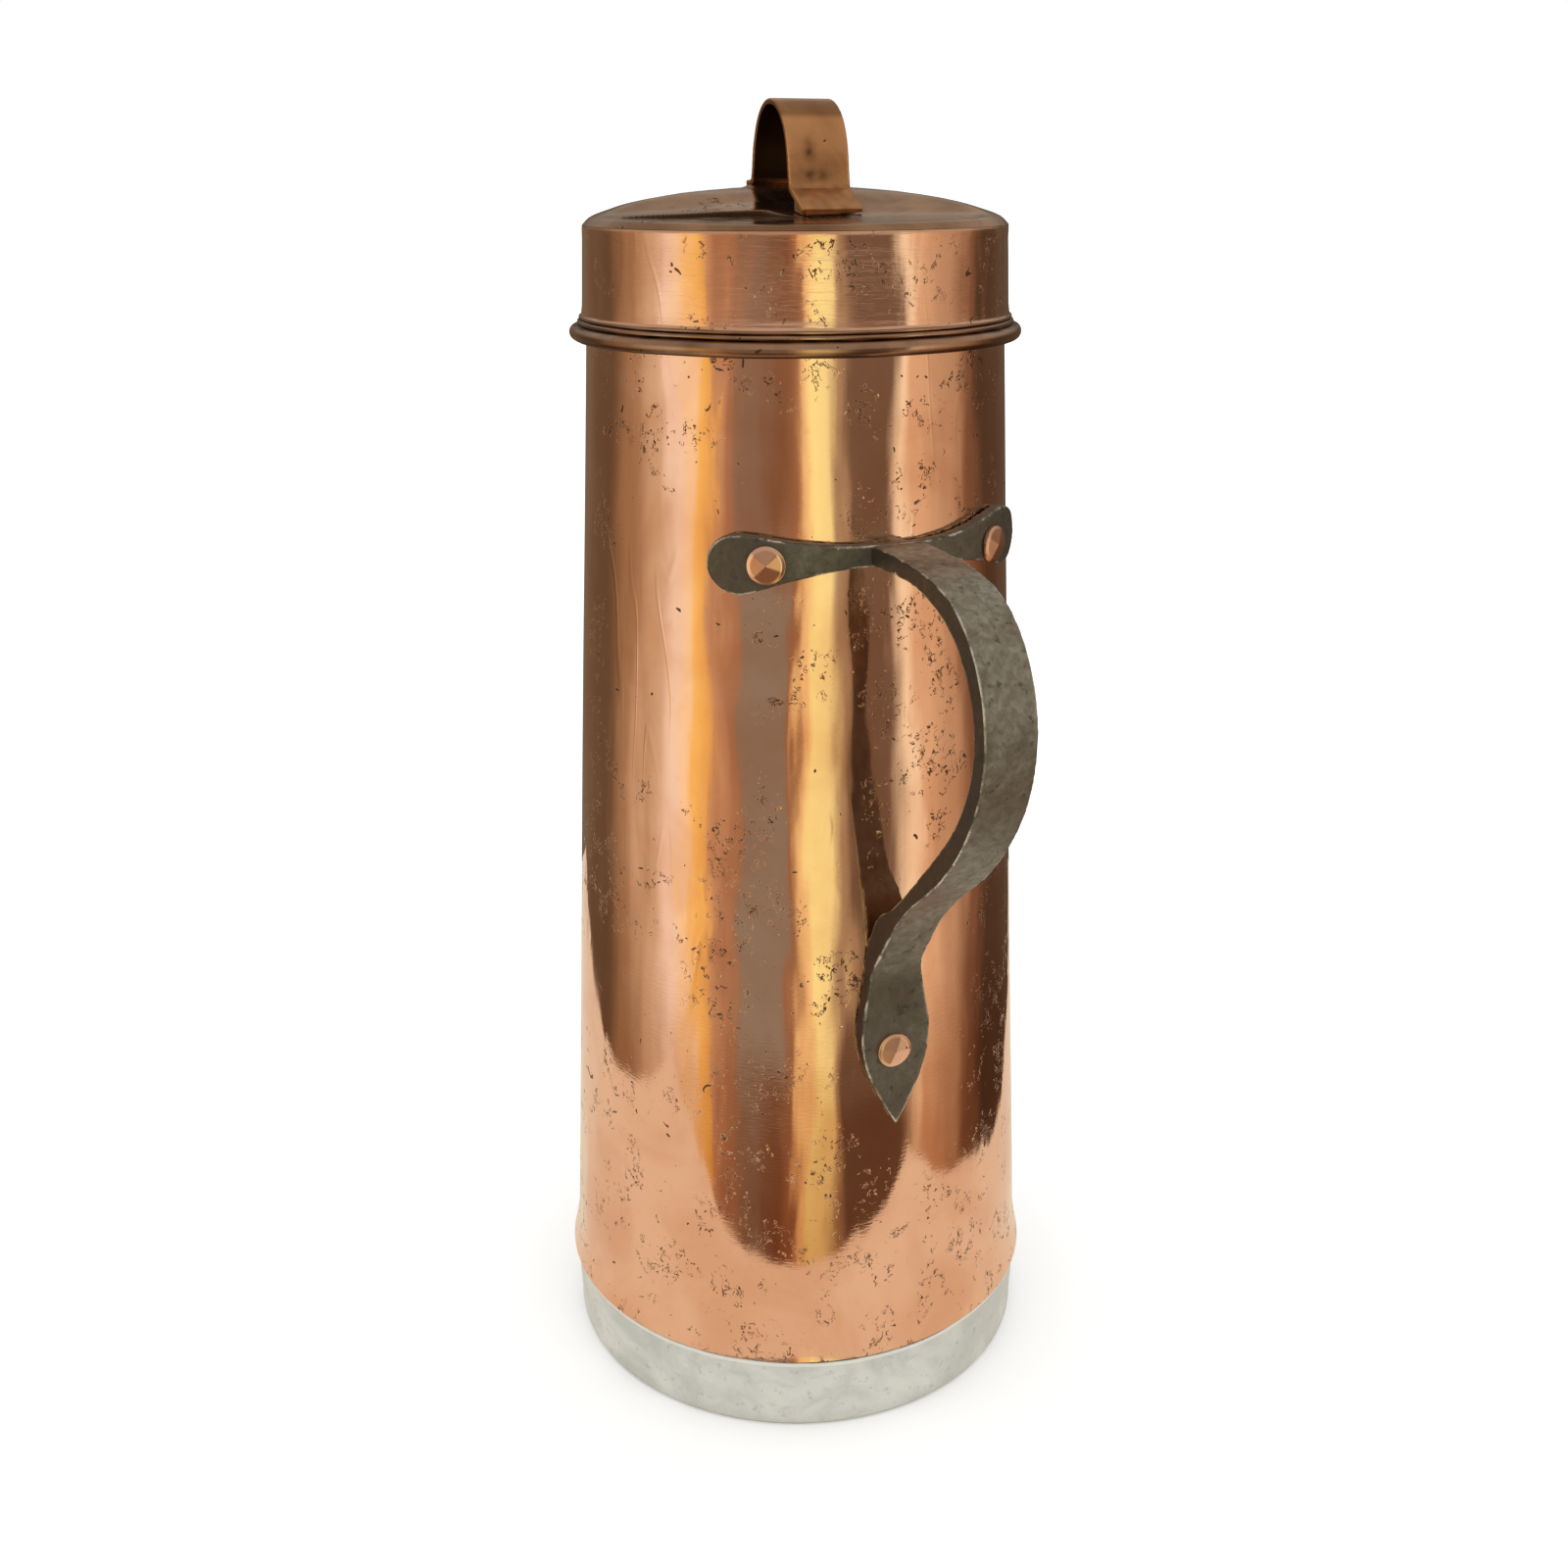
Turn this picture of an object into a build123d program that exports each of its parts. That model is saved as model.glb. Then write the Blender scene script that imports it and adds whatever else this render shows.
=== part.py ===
"""Lidded copper can with a forged iron side handle. Millimetres, +Z up, origin at the middle of the
base, side handle towards +X."""
import os
from math import cos, radians, sin

from build123d import *

# --- driving dimensions: body ---------------------------------------------------------------------
SHEET = 1.1              # copper sheet of the body
WALL_SLOPE = 0.0513      # loss of radius per unit of height, body and lid alike
WALL_R = 79.2            # outer radius of the straight wall at height WALL_Z
WALL_Z = 42.8
MOUTH_Z = 372.6          # body's upper edge
MOUTH_ROUND = 0.3
FLARE_Z = 42.8           # the wall starts to flare here, towards its lower edge
SHELL_EDGE_R = 81.2      # flared lower edge of the copper
SHELL_EDGE_Z = 27.2
CONTACT_GAP = 0.05       # between sheets that lie against each other

PAN_SHEET = 1.2          # base pan
PAN_FLOOR_R = 79.3
PAN_CORNER = 3.0
PAN_TOP_Z = 48.0

# --- driving dimensions: lid ----------------------------------------------------------------------
LID_SHEET = 0.8
LID_FOLD_R = 63.35       # fold between the lid's skirt and its crown
LID_FOLD_Z = 376.0
LID_LIP_Z = 374.9        # underside of the crown's edge
CROWN_PROFILE = (        # radius, height
    (0.0, 387.1),
    (20.0, 386.2),
    (36.0, 384.6),
    (48.0, 382.5),
    (56.0, 380.2),
    (60.8, 378.3),
    (LID_FOLD_R, LID_FOLD_Z),
)
LID_GAP = 0.4            # between the body wall and the skirt
SKIRT_END_Z = 346.0
LEDGE_R = 59.5           # inward ledge of the skirt, which carries the crown
ROLL_R = 66.2            # rolled edge at the foot of the skirt
ROLL_Z = 345.7
ROLL_TUBE_R = 2.15
WIRE_R = 1.3
RIDGES = (               # thin ridges over the roll: radius, height, radius of the ridge's section
    (65.1, 348.7, 0.75),
    (64.8, 350.1, 0.5),
)

FRONT_AZIMUTH = -23.5    # the crown's front, in this direction, is pushed in
FRONT_PROFILE = (        # distance from the axis, height of the pushed-in surface
    (-10.0, 387.3),
    (4.0, 385.0),
    (14.0, 381.6),
    (21.0, 379.4),
    (29.0, 378.6),
    (45.0, 378.1),
    (70.0, 377.2),
)
FRONT_CEILING_Z = 395.0  # the tool that cuts the front reaches up to here

LOOP_ARCH = (            # lid handle: middle of its strap from the front leg over to the rear leg
    (16.7, 390.1),
    (15.2, 398.4),
    (10.4, 406.6),
    (3.0, 409.7),
    (-3.7, 406.9),
    (-8.2, 398.8),
    (-9.7, 391.0),
)
LOOP_LEG_LEAN = 0.17     # outward lean of both legs
LOOP_WIDTH = 19.3
LOOP_STRAP = 1.8
LOOP_BEND_R = 1.5
FEET = (                 # bend and end of each foot, on the middle of the strap
    ((17.4, 386.0), (26.5, 380.0)),
    ((-10.5, 387.7), (-15.0, 387.4)),
)
SOLDER_FLOOR_Z = 376.0   # the solder blocks reach down to here before the crown is cut from them
SOLDER_INSET = 1.5       # the solder stops this far inside the foot's sides

# --- driving dimensions: side handle ----------------------------------------------------------------
BAR_Z = 288.0            # height of the crossbar's middle
BAR_THICKNESS = 4.2
BAR_OUTLINE = (          # azimuth, height: along the top, round the ear's end, back along the bottom
    (0.0, 293.4),
    (12.0, 293.4),
    (22.0, 294.3),
    (31.0, 295.8),
    (38.0, 296.3),
    (42.6, 293.8),
    (44.6, 288.2),
    (43.0, 283.0),
    (38.0, 279.5),
    (31.0, 281.1),
    (22.0, 284.2),
    (12.0, 286.5),
    (0.0, 286.4),
)
EAR_PLANE_AZIMUTH = 28.0
BAR_MARGIN = 15.0        # the ring that the bar is cut from reaches this far over and under
RIGHT_EAR_LIFT = 1.6     # the right ear stands a little higher than the left
LIFT_AZIMUTH = (15.0, 35.0)

GRIP_HALF_WIDTH = 8.0
GRIP_END_Z = 185.0       # the strap starts to widen into the leaf
LEAF_SIDE = -0.9         # the leaf's middle lies this far to the left
LEAF_OUTLINE = (         # half width, height
    (8.3, 168.0),
    (9.7, 157.0),
    (11.65, 143.0),
    (9.9, 131.5),
    (4.8, 120.0),
)
LEAF_TIP_Z = 111.4
LEAF_THICKNESS = 4.2
LEAF_TOP_Z = 152.0
STRAP_TOP_Z = 293.4      # strap's upper face where it leaves the crossbar
STRAP_OUTSIDE = (        # distance from the axis, height
    (68.0, STRAP_TOP_Z),
    (94.0, 292.4),
    (117.0, 286.5),
    (131.5, 270.5),
    (135.8, 252.0),
    (129.3, 228.3),
    (108.8, 203.0),
    (89.0, 184.0),
    (80.0, 169.0),
)
STRAP_INSIDE = (
    (68.0, 287.2),
    (92.0, 287.2),
    (111.6, 281.6),
    (125.2, 268.4),
    (129.6, 252.0),
    (123.6, 231.2),
    (104.0, 207.2),
    (84.0, 187.6),
    (71.5, 170.0),
)
STRAP_ROOT_X = 65.0      # the strap's blank reaches in to here before the wall is cut from it
STRAP_LIMIT_X = 150.0    # the tools that shape the strap reach out and up to here
STRAP_LIMIT_Z = 298.0

RIVET_SHANK_R = 2.9
RIVET_HOLE_R = 2.95
RIVET_HEAD_R = 5.5
RIVET_HEAD_HEIGHT = 2.2
RIVET_FACET_REACH = 8.0  # half side of the pyramid that the head is cut from
INNER_HEAD_R = 4.6
INNER_HEAD_HEIGHT = 1.5
INNER_HEAD_GAP = 0.2     # the flat inner head stands this far off the hollow wall
INNER_HEAD_TAPER = 25.0
RIVET_POINT = 0.1        # side of the flat at the pyramid's point
DRILL_LENGTH = 30.0


def wall_radius(z):
    """Outer radius of the conical body wall at height z."""
    return WALL_R - WALL_SLOPE * (z - WALL_Z)


def wall_plane(azimuth, z):
    """Plane on the body wall whose normal points straight out of the copper."""
    a = radians(azimuth)
    return Plane(
        origin=(wall_radius(z) * cos(a), wall_radius(z) * sin(a), z),
        x_dir=(-sin(a), cos(a), 0),
        z_dir=(cos(a), sin(a), WALL_SLOPE),
    )


def turn(points, mode=Mode.ADD):
    """Closed outline of straight runs, given as (radius, height), turned about the axis."""
    with BuildSketch(Plane.XZ) as outline:
        with BuildLine():
            Polyline(*points, close=True)
        make_face()
    revolve(outline.sketch, axis=Axis.Z, mode=mode)


def band(low, high, inside, outside):
    """Outline of a band round the body wall, from one distance off the wall to another."""
    return (
        (wall_radius(low) + inside, low),
        (wall_radius(low) + outside, low),
        (wall_radius(high) + outside, high),
        (wall_radius(high) + inside, high),
    )


def crown_cap(drop, inset):
    """Solid of the lid's crown with its pushed-in front, lowered by drop and narrowed by inset."""
    with BuildSketch(Plane.XZ) as outline:
        with BuildLine():
            low_edge = LID_LIP_Z - drop
            points = [(r, z - drop) for r, z in CROWN_PROFILE[:-1]]
            dome = Spline(*points, (LID_FOLD_R - inset, LID_FOLD_Z - drop), tangents=((1, 0), (1, -0.95)))
            Polyline(dome @ 1, (LID_FOLD_R - inset, low_edge), (0, low_edge), dome @ 0)
        make_face()
    revolve(outline.sketch, axis=Axis.Z)
    a = radians(FRONT_AZIMUTH)
    front = Plane(origin=(0, 0, 0), x_dir=(cos(a), sin(a), 0), z_dir=(sin(a), -cos(a), 0))
    with BuildSketch(front) as pushed_in:
        with BuildLine():
            surface = Spline(*[(reach, z - drop) for reach, z in FRONT_PROFILE])
            over_rim = (FRONT_PROFILE[-1][0], FRONT_CEILING_Z)
            over_top = (FRONT_PROFILE[0][0], FRONT_CEILING_Z)
            Polyline(surface @ 1, over_rim, over_top, surface @ 0)
        make_face()
    extrude(pushed_in.sketch, amount=2 * LID_FOLD_R, both=True, mode=Mode.SUBTRACT)


def save(builder, name):
    builder.part.label = name
    export_step(builder.part, f"parts/{name}.step")


os.makedirs("parts", exist_ok=True)

RIVETS = {               # azimuth, height, thickness of the iron under the head
    "rivet_upper_left": (-30.4, 288.0, BAR_THICKNESS),
    "rivet_upper_right": (31.0, 287.6, BAR_THICKNESS),
    "rivet_lower": (-1.4, 137.6, LEAF_THICKNESS),
}


def drill_for_rivets(names):
    """Round holes through whatever stands on the wall at the named rivets, each with a flat seat."""
    for name in names:
        azimuth, z, grip = RIVETS[name]
        wall = wall_plane(azimuth, z)
        with Locations(wall):
            Cylinder(RIVET_HOLE_R, DRILL_LENGTH, mode=Mode.SUBTRACT)
        with Locations(wall.offset(grip + DRILL_LENGTH / 2)):
            Cylinder(RIVET_HEAD_R, DRILL_LENGTH, mode=Mode.SUBTRACT)


# --- body shell: a tapering copper tube with a small flare at its lower edge ------------------------
with BuildPart() as body_shell:
    with BuildSketch(Plane.XZ):
        with BuildLine():
            mouth_r = wall_radius(MOUTH_Z)
            flare_r = wall_radius(FLARE_Z)
            outer = Line((mouth_r, MOUTH_Z), (flare_r, FLARE_Z))
            outer_flare = TangentArc(outer @ 1, (SHELL_EDGE_R, SHELL_EDGE_Z), tangent=outer % 1)
            inner = Line((mouth_r - SHEET, MOUTH_Z), (flare_r - SHEET, FLARE_Z))
            inner_end = (SHELL_EDGE_R - SHEET, SHELL_EDGE_Z)
            inner_flare = TangentArc(inner @ 1, inner_end, tangent=inner % 1)
            Line(outer_flare @ 1, inner_flare @ 1)
            Line(outer @ 0, inner @ 0)
        make_face()
    revolve(axis=Axis.Z)
    fillet(body_shell.edges().filter_by(GeomType.CIRCLE).group_by(Axis.Z)[-1], MOUTH_ROUND)
    drill_for_rivets(RIVETS)
save(body_shell, "body_shell")

# --- base pan: a grey metal cup whose wall runs up inside the copper --------------------------------
with BuildPart() as base_pan:
    with BuildSketch(Plane.XZ):
        with BuildLine():
            lap_r = flare_r - SHEET - CONTACT_GAP
            edge_r = SHELL_EDGE_R - SHEET - CONTACT_GAP
            top_r = wall_radius(PAN_TOP_Z) - SHEET - CONTACT_GAP
            outer = Line((top_r, PAN_TOP_Z), (lap_r, FLARE_Z))
            outer_flare = TangentArc(outer @ 1, (edge_r, SHELL_EDGE_Z), tangent=outer % 1)
            inner = Line((top_r - PAN_SHEET, PAN_TOP_Z), (lap_r - PAN_SHEET, FLARE_Z))
            inner_end = (edge_r - PAN_SHEET, SHELL_EDGE_Z)
            inner_flare = TangentArc(inner @ 1, inner_end, tangent=inner % 1)
            Line(outer @ 0, inner @ 0)
            Polyline(outer_flare @ 1, (PAN_FLOOR_R, 0), (0, 0), (0, PAN_SHEET))
            Polyline((0, PAN_SHEET), (PAN_FLOOR_R - PAN_SHEET, PAN_SHEET), inner_flare @ 1)
        make_face()
    revolve(axis=Axis.Z)
    rings = base_pan.edges().filter_by(GeomType.CIRCLE)
    floor_edge = rings.filter_by(lambda ring: abs(ring.center().Z - PAN_SHEET) < 0.01)
    fillet(rings.group_by(Axis.Z)[0], PAN_CORNER)
    fillet(floor_edge, PAN_CORNER - PAN_SHEET)
save(base_pan, "base_pan")


# --- handle crossbar: a forged strap round the body, spread into an ear at each end -----------------
def across(azimuth):
    """Distance of an azimuth on the bar's face from the middle of its ear plane."""
    return (wall_radius(BAR_Z) + BAR_THICKNESS) * sin(radians(azimuth - EAR_PLANE_AZIMUTH))


def ear_lift(azimuth, side):
    """How much higher a place on the right ear is than on the left one."""
    start, full = LIFT_AZIMUTH
    share = min(1.0, max(0.0, (azimuth - start) / (full - start)))
    return RIGHT_EAR_LIFT * share if side > 0 else 0.0


with BuildPart() as bar_outline:
    for side in (1, -1):
        a = radians(EAR_PLANE_AZIMUTH)
        round_the_body = (-sin(a), side * cos(a), 0)
        outwards = (cos(a), side * sin(a), 0)
        ear_plane = Plane(origin=(0, 0, 0), x_dir=round_the_body, z_dir=outwards)
        up = ear_plane.y_dir.Z
        with BuildSketch(ear_plane):
            with BuildLine():
                points = [(across(b), up * (z + ear_lift(b, side))) for b, z in BAR_OUTLINE]
                rim = Spline(*points)
                Line(rim @ 1, rim @ 0)
            make_face()
        extrude(amount=wall_radius(0))

with BuildPart() as handle_crossbar:
    turn(band(BAR_Z - BAR_MARGIN, BAR_Z + BAR_MARGIN, 0, BAR_THICKNESS))
    add(bar_outline.part, mode=Mode.INTERSECT)
    drill_for_rivets(("rivet_upper_left", "rivet_upper_right"))
save(handle_crossbar, "handle_crossbar")

# --- handle strap: leaves the crossbar level, bows out into the grip and ends in a pointed leaf ------
with BuildPart() as strap_front:
    with BuildSketch(Plane.YZ):
        with BuildLine():
            for side in (1, -1):
                edge = Spline(
                    (side * GRIP_HALF_WIDTH, GRIP_END_Z),
                    *[(LEAF_SIDE + side * half, z) for half, z in LEAF_OUTLINE],
                    (LEAF_SIDE, LEAF_TIP_Z),
                    tangents=((0, -1), (-side * 0.55, -1)),
                )
                Polyline(edge @ 0, (side * GRIP_HALF_WIDTH, STRAP_LIMIT_Z), (0, STRAP_LIMIT_Z))
        make_face()
    extrude(amount=STRAP_LIMIT_X)

with BuildPart() as handle_strap:
    with BuildSketch(Plane.XZ):
        with BuildLine():
            leaf_face = (wall_radius(LEAF_TOP_Z) + LEAF_THICKNESS, LEAF_TOP_Z)
            outside = Spline(*STRAP_OUTSIDE, leaf_face, tangents=((1, 0), (WALL_SLOPE, -1)))
            inside = Spline(*STRAP_INSIDE, tangents=((1, 0), (-0.35, -1)))
            tip_r = wall_radius(LEAF_TIP_Z) + LEAF_THICKNESS
            Line(outside @ 0, inside @ 0)
            Polyline(outside @ 1, (tip_r, LEAF_TIP_Z), (STRAP_ROOT_X, LEAF_TIP_Z), inside @ 1)
        make_face()
    extrude(amount=2 * GRIP_HALF_WIDTH, both=True)
    add(strap_front.part, mode=Mode.INTERSECT)
    turn(band(LEAF_TIP_Z - 5, STRAP_LIMIT_Z, -DRILL_LENGTH, 0), mode=Mode.SUBTRACT)
    turn(band(BAR_Z - BAR_MARGIN, STRAP_LIMIT_Z, -DRILL_LENGTH, BAR_THICKNESS), mode=Mode.SUBTRACT)
    drill_for_rivets(("rivet_lower",))
save(handle_strap, "handle_strap")

# --- rivets: low four-sided heads outside, flat peened heads inside ---------------------------------
for name, (azimuth, z, grip) in RIVETS.items():
    seat = wall_plane(azimuth, z).offset(grip)
    shank_length = grip + SHEET + INNER_HEAD_GAP
    with BuildPart() as rivet:
        with BuildSketch(seat):
            Rectangle(2 * RIVET_FACET_REACH, 2 * RIVET_FACET_REACH)
        with BuildSketch(seat.offset(RIVET_HEAD_HEIGHT)):
            Rectangle(RIVET_POINT, RIVET_POINT)
        loft()
        with BuildSketch(seat):
            Circle(RIVET_HEAD_R)
        extrude(amount=RIVET_HEAD_HEIGHT, mode=Mode.INTERSECT)
        with BuildSketch(seat):
            Circle(RIVET_SHANK_R)
        extrude(amount=-shank_length)
        with BuildSketch(seat.offset(-shank_length)):
            Circle(INNER_HEAD_R)
        extrude(amount=-INNER_HEAD_HEIGHT, taper=INNER_HEAD_TAPER)
    save(rivet, name)

# --- lid skirt: a conical band with an inward ledge on top and a wired roll at its foot --------------
with BuildPart() as lid_skirt:
    with BuildSketch(Plane.XZ):
        with BuildLine():
            top = LID_LIP_Z - CONTACT_GAP
            ledge_z = top - LID_SHEET
            inner_top = (wall_radius(ledge_z) + LID_GAP, ledge_z)
            inner_foot = (wall_radius(SKIRT_END_Z) + LID_GAP, SKIRT_END_Z)
            outer_foot = (wall_radius(SKIRT_END_Z) + LID_GAP + LID_SHEET, SKIRT_END_Z)
            Polyline(
                (LEDGE_R, top),
                (LID_FOLD_R, top),
                outer_foot,
                inner_foot,
                inner_top,
                (LEDGE_R, ledge_z),
                close=True,
            )
        make_face()
        with Locations((ROLL_R, ROLL_Z)):
            Circle(ROLL_TUBE_R)
        for ridge_r, ridge_z, ridge_tube_r in RIDGES:
            with Locations((ridge_r, ridge_z)):
                Circle(ridge_tube_r)
        with Locations((ROLL_R, ROLL_Z)):
            Circle(WIRE_R + CONTACT_GAP, mode=Mode.SUBTRACT)
    revolve(axis=Axis.Z)
save(lid_skirt, "lid_skirt")

# --- lid rim wire: an iron ring inside the roll ------------------------------------------------------
with BuildPart() as lid_rim_wire:
    with Locations((0, 0, ROLL_Z)):
        Torus(ROLL_R, WIRE_R)
save(lid_rim_wire, "lid_rim_wire")

# --- lid crown: a low dome, pushed in at the front ----------------------------------------------------
with BuildPart() as crown:
    crown_cap(0, 0)

with BuildPart() as crown_hollow:
    crown_cap(LID_SHEET, LID_SHEET)

with BuildPart() as lid_crown:
    add(crown.part)
    add(crown_hollow.part, mode=Mode.SUBTRACT)
save(lid_crown, "lid_crown")

# --- lid handle: a copper strap bent into an arch, its two feet soldered to the crown ----------------
with BuildPart() as lid_handle:
    with BuildSketch(Plane.XZ):
        with BuildLine():
            arch = Spline(*LOOP_ARCH, tangents=((-LOOP_LEG_LEAN, 1), (-LOOP_LEG_LEAN, -1)))
            for leg_end, (bend, end) in zip((arch @ 0, arch @ 1), FEET):
                FilletPolyline(leg_end, bend, end, radius=LOOP_BEND_R)
        trace(line_width=LOOP_STRAP)
    extrude(amount=LOOP_WIDTH / 2, both=True)
    with BuildSketch(Plane.XZ):
        for bend, end in FEET:
            with BuildLine():
                Polyline(bend, end, (end[0], SOLDER_FLOOR_Z), (bend[0], SOLDER_FLOOR_Z), close=True)
            make_face()
    extrude(amount=LOOP_WIDTH / 2 - SOLDER_INSET, both=True)
    add(crown.part, mode=Mode.SUBTRACT)
save(lid_handle, "lid_handle")
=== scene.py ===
"""Lidded copper can with a forged iron side handle. Metres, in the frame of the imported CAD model."""

from math import cos, degrees, exp, pi, radians, sin, sqrt

import bmesh
import bpy
from mathutils import Matrix, Vector, noise


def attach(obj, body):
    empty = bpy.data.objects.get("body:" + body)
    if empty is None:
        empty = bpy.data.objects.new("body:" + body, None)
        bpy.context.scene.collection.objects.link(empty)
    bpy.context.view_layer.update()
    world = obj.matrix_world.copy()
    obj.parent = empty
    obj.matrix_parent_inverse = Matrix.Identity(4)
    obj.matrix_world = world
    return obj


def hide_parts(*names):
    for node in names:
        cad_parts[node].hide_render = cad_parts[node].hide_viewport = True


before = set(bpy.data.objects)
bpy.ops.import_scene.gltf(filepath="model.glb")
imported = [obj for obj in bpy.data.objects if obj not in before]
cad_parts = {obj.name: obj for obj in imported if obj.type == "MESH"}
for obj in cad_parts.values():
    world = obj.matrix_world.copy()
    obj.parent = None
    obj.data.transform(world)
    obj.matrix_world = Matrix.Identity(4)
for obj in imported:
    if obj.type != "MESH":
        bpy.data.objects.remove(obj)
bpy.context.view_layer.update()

MM = 0.001

# --- shape of the can, in millimetres, as in the CAD model -------------------------------------------
WALL_R, WALL_Z, WALL_SLOPE, SHEET = 79.2, 42.8, 0.0513, 1.1
MOUTH_Z = 372.6
SHELL_EDGE_R, SHELL_EDGE_Z = 81.2, 27.2
PAN_SHEET, PAN_FLOOR_R, PAN_CORNER, PAN_TOP_Z = 1.2, 79.3, 3.0, 48.0
FOLD_R, FOLD_Z, LIP_Z, LID_SHEET = 63.35, 376.0, 374.9, 0.8
LID_GAP = 0.4
SKIRT_END_Z = 346.0
# Crown: distance from the axis and height, round the dome and then out over the pushed-in front.
CROWN = (
    (0, 387.1), (20.0, 386.2), (36.0, 384.6), (48.0, 382.5), (56.0, 380.2), (60.8, 378.3), (FOLD_R, FOLD_Z),
)
FRONT_AZIMUTH = -23.5
FRONT = (
    (-10.0, 387.3), (4.0, 385.0), (14.0, 381.6), (21.0, 379.4), (29.0, 378.6), (45.0, 378.1), (70.0, 377.2),
)
# Crease in the pushed-in front: place across the front, distance from the axis, height of the step.
CREASE = (
    (-52, 31, 0.0), (-47, 30, 0.5), (-38, 28.5, 0.9), (-29, 27, 1.1), (-22, 24.5, 1.3), (-15, 22.5, 1.3),
    (-9, 22, 1.2), (-6, 24.5, 1.0), (-2, 28, 0.6), (4, 31, 0.0),
)


def wall_radius(z):
    return WALL_R - WALL_SLOPE * (z - WALL_Z)


def smooth(t):
    t = min(1.0, max(0.0, t))
    return t * t * (3 - 2 * t)


def perlin(x, y, z):
    return noise.noise(Vector((x, y, z)))


# --- mesh helpers ----------------------------------------------------------------------------------
def make_object(name, verts, faces, materials, face_materials=None):
    """Mesh object from points in millimetres, smooth shaded with sharp edges kept."""
    mesh = bpy.data.meshes.new(name)
    mesh.from_pydata([(x * MM, y * MM, z * MM) for x, y, z in verts], [], faces)
    for m in materials:
        mesh.materials.append(m)
    if face_materials:
        mesh.polygons.foreach_set("material_index", face_materials)
    bm = bmesh.new()
    bm.from_mesh(mesh)
    bmesh.ops.recalc_face_normals(bm, faces=bm.faces)
    bm.to_mesh(mesh)
    bm.free()
    mesh.polygons.foreach_set("use_smooth", [True] * len(mesh.polygons))
    mesh.set_sharp_from_angle(angle=radians(50))
    obj = bpy.data.objects.new(name, mesh)
    bpy.context.scene.collection.objects.link(obj)
    return obj


def add_stain_and_shade(obj, darkening):
    """Point attribute that darkens with stains and painted shade. darkening takes a point in millimetres and
    its normal.
    """
    layer = obj.data.attributes.new("darkening", "FLOAT", "POINT")
    values = [min(1.0, max(0.0, darkening(*(v.co / MM), v.normal))) for v in obj.data.vertices]
    layer.data.foreach_set("value", values)


def skin(rings, slots=None):
    """Faces from each ring of points to the next, and from the last to the first, with their slots."""
    faces, face_slots = [], []
    for i, one in enumerate(rings):
        two = rings[(i + 1) % len(rings)]
        if one[0] == one[1] and two[0] == two[1]:
            continue
        for k in range(len(one)):
            n = (k + 1) % len(one)
            faces.append(list(dict.fromkeys([one[k], one[n], two[n], two[k]])))
            face_slots.append(slots[i] if slots else 0)
    return faces, face_slots


def lathe(name, profile, segments, materials, shift=None, slots=None):
    """Closed outline of (radius, height) turned about Z. slots has each span's material.

    shift(angle, r, z, i) moves point i of the outline to another (r, z).
    """
    verts, rings = [], []
    for i, (r, z) in enumerate(profile):
        if r < 1e-6:
            rings.append([len(verts)] * segments)
            verts.append((0.0, 0.0, shift(0.0, 0.0, z, i)[1] if shift else z))
            continue
        ring = []
        for k in range(segments):
            a = 2 * pi * k / segments
            rr, zz = shift(a, r, z, i) if shift else (r, z)
            ring.append(len(verts))
            verts.append((rr * cos(a), rr * sin(a), zz))
        rings.append(ring)
    faces, face_slots = skin(rings, slots)
    return make_object(name, verts, faces, materials, face_slots)


def spline(points, count):
    """Smooth curve through the points, as count + 1 points."""
    p = [Vector(q) for q in points]
    p = [2 * p[0] - p[1]] + p + [2 * p[-1] - p[-2]]
    out = []
    spans = len(p) - 3
    for k in range(count + 1):
        u = spans * k / count
        i = min(int(u), spans - 1)
        t = u - i
        a, b, c, d = p[i:i + 4]
        bow = (2 * a - 5 * b + 4 * c - d) * t ** 2
        twist = (3 * b - a - 3 * c + d) * t ** 3
        out.append(0.5 * (2 * b + (c - a) * t + bow + twist))
    return out


def arc(cx, cz, r, start, end, count):
    """Points of an arc from the start angle to the end angle, in degrees."""
    angles = [radians(start + (end - start) * k / count) for k in range(count + 1)]
    return [(cx + r * cos(a), cz + r * sin(a)) for a in angles]


def rows(first, last, count):
    """Points from first towards last, without last."""
    return [tuple(Vector(first).lerp(Vector(last), k / count)) for k in range(count)]


# --- material helpers --------------------------------------------------------------------------------
class Nodes:
    """Short names for adding nodes to one node tree."""

    def __init__(self, tree):
        self.tree = tree

    def add(self, kind, inputs=None, **settings):
        node = self.tree.nodes.new("ShaderNode" + kind)
        for key, value in settings.items():
            setattr(node, key, value)
        for key, value in (inputs or {}).items():
            if isinstance(value, bpy.types.NodeSocket):
                self.tree.links.new(value, node.inputs[key])
            else:
                node.inputs[key].default_value = value
        return node

    def math(self, operation, a, b=0.0, c=0.0, clamp=False):
        return self.add("Math", {0: a, 1: b, 2: c}, operation=operation, use_clamp=clamp).outputs[0]

    def steps(self, value, low, high, out_low=0.0, out_high=1.0):
        """Smooth step of value from low to high."""
        node = self.add(
            "MapRange",
            {"Value": value, "From Min": low, "From Max": high, "To Min": out_low, "To Max": out_high},
            interpolation_type="SMOOTHSTEP",
        )
        return node.outputs[0]

    def mix(self, fac, a, b, blend="MIX"):
        node = self.add("Mix", data_type="RGBA", blend_type=blend)
        for index, value in ((0, fac), (6, a), (7, b)):
            if isinstance(value, bpy.types.NodeSocket):
                self.tree.links.new(value, node.inputs[index])
            else:
                node.inputs[index].default_value = value if index == 0 else (*value, 1.0)
        return node.outputs[2]


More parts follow.
